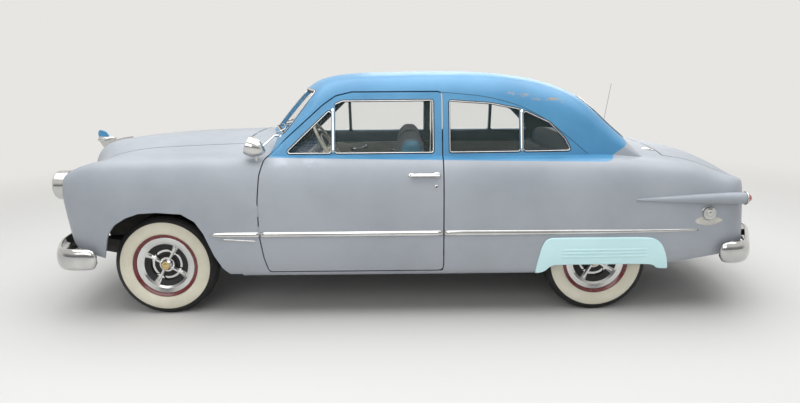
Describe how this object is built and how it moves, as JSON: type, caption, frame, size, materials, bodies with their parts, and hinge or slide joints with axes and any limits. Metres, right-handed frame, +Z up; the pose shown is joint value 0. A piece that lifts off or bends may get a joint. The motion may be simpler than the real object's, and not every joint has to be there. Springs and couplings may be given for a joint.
{
  "type": "two-door sedan car",
  "caption": "Full-size mid-century two-door sedan with a hollow cabin, opening doors, hood and deck lid, coupled steering and freely turning wheels.",
  "frame": {"origin": "on the floor, at the middle of the overall length and width", "axes": "+X towards the rear of the car, +Y towards its right side, +Z up"},
  "size_m": [4.9993, 1.8638, 1.6054],
  "materials": {
    "body_grey": "satin grey-blue primer",
    "roof_blue": "gloss mid blue",
    "skirt_aqua": "satin pale aqua",
    "chrome": "bright plated",
    "wheel_bright": "bright cover on a red rim",
    "tire_rubber": "black rubber with wide cream sidewalls",
    "window_glass": "clear",
    "lamp_glass": "clear fluted",
    "tail_red": "red lens",
    "chassis_black": "matt black",
    "cast_steel": "rough cast",
    "engine_iron": "painted casting",
    "radiator_black": "matt black",
    "exhaust_steel": "dull steel",
    "seat_vinyl": "navy seat covering",
    "dash_paint": "satin",
    "steering_cream": "cream moulding"
  },
  "bodies": {
    "body": {"roof": "roof_blue", "cowl": "body_grey", "rear_body": "body_grey", "front_panel": "body_grey", "front_aprons": "chassis_black", "grille": "chrome", "floor_pan": "chassis_black", "windshield": "window_glass", "rear_window": "window_glass", "quarter_glass": "window_glass", "frame": "chassis_black", "front_suspension": "chassis_black", "rear_axle": "chassis_black", "leaf_springs": "chassis_black", "driveshaft": "chassis_black", "engine": "engine_iron", "radiator": "radiator_black", "exhaust": "exhaust_steel", "fuel_tank": "chassis_black", "front_bumper": "chrome", "rear_bumper": "chrome", "headlamps": "chrome", "headlamp_lenses": "lamp_glass", "parking_lamps": "lamp_glass", "tail_lamps": "tail_red", "fender_skirts": "skirt_aqua", "fuel_cap": "chrome", "spotlight": "chrome", "antenna": "chrome", "seat_cushions": "seat_vinyl", "seat_backs": "seat_vinyl", "seat_riser": "chassis_black", "dashboard": "dash_paint", "steering_column": "steering_cream", "quarter_left": "body_grey", "quarter_right": "body_grey", "front_fender_left": "body_grey", "front_fender_right": "body_grey"},
    "hood": {"hood": "body_grey", "hood_ornament": "chrome"},
    "deck_lid": {"deck_lid": "body_grey"},
    "door_left": {"door_left": "body_grey", "door_glass_left": "window_glass", "door_handle_left": "chrome"},
    "door_right": {"door_right": "body_grey", "door_glass_right": "window_glass", "door_handle_right": "chrome"},
    "steering_wheel": {"steering_wheel": "steering_cream"},
    "knuckle_left": {"knuckle_left": "cast_steel"},
    "wheel_front_left": {"tire_front_left": "tire_rubber", "wheel_front_left": "wheel_bright"},
    "wheel_rear_left": {"tire_rear_left": "tire_rubber", "wheel_rear_left": "wheel_bright"},
    "knuckle_right": {"knuckle_right": "cast_steel"},
    "wheel_front_right": {"tire_front_right": "tire_rubber", "wheel_front_right": "wheel_bright"},
    "wheel_rear_right": {"tire_rear_right": "tire_rubber", "wheel_rear_right": "wheel_bright"}
  },
  "joints": [
    {"name": "door_left_swing", "type": "hinge", "parent": "body", "child": "door_left", "pos_m": [-1.00894, -0.91079, 0.7], "axis": [0, 0, -1], "range_deg": [0, 65]},
    {"name": "door_right_swing", "type": "hinge", "parent": "body", "child": "door_right", "pos_m": [-1.00894, 0.91079, 0.7], "axis": [0, 0, 1], "range_deg": [0, 65]},
    {"name": "hood_lift", "type": "hinge", "parent": "body", "child": "hood", "pos_m": [-1.14734, 0, 1.16815], "axis": [0, 1, 0], "range_deg": [0, 50]},
    {"name": "deck_lift", "type": "hinge", "parent": "body", "child": "deck_lid", "pos_m": [1.69066, 0, 1.06937], "axis": [0, -1, 0], "range_deg": [0, 60]},
    {"name": "steering_turn", "type": "hinge", "parent": "body", "child": "steering_wheel", "pos_m": [-0.58, -0.36, 1.06], "axis": [0.848, 0, 0.5299], "range_deg": [-540, 540]},
    {"name": "steer_left", "type": "hinge", "parent": "body", "child": "knuckle_left", "pos_m": [-1.68, -0.652, 0.342], "axis": [0, 0, 1], "range_deg": [-30, 30]},
    {"name": "steer_right", "type": "hinge", "parent": "body", "child": "knuckle_right", "pos_m": [-1.68, 0.652, 0.342], "axis": [0, 0, 1], "range_deg": [-30, 30]},
    {"name": "spin_front_left", "type": "hinge", "parent": "knuckle_left", "child": "wheel_front_left", "pos_m": [-1.68, -0.711, 0.342], "axis": [0, 1, 0], "continuous": true},
    {"name": "spin_rear_left", "type": "hinge", "parent": "body", "child": "wheel_rear_left", "pos_m": [1.216, -0.711, 0.342], "axis": [0, 1, 0], "continuous": true},
    {"name": "spin_front_right", "type": "hinge", "parent": "knuckle_right", "child": "wheel_front_right", "pos_m": [-1.68, 0.711, 0.342], "axis": [0, 1, 0], "continuous": true},
    {"name": "spin_rear_right", "type": "hinge", "parent": "body", "child": "wheel_rear_right", "pos_m": [1.216, 0.711, 0.342], "axis": [0, 1, 0], "continuous": true}
  ],
  "couplings": [
    {"joint": "steer_right", "follows": "steer_left", "ratio": 1},
    {"joint": "steering_turn", "follows": "steer_left", "ratio": 18}
  ]
}
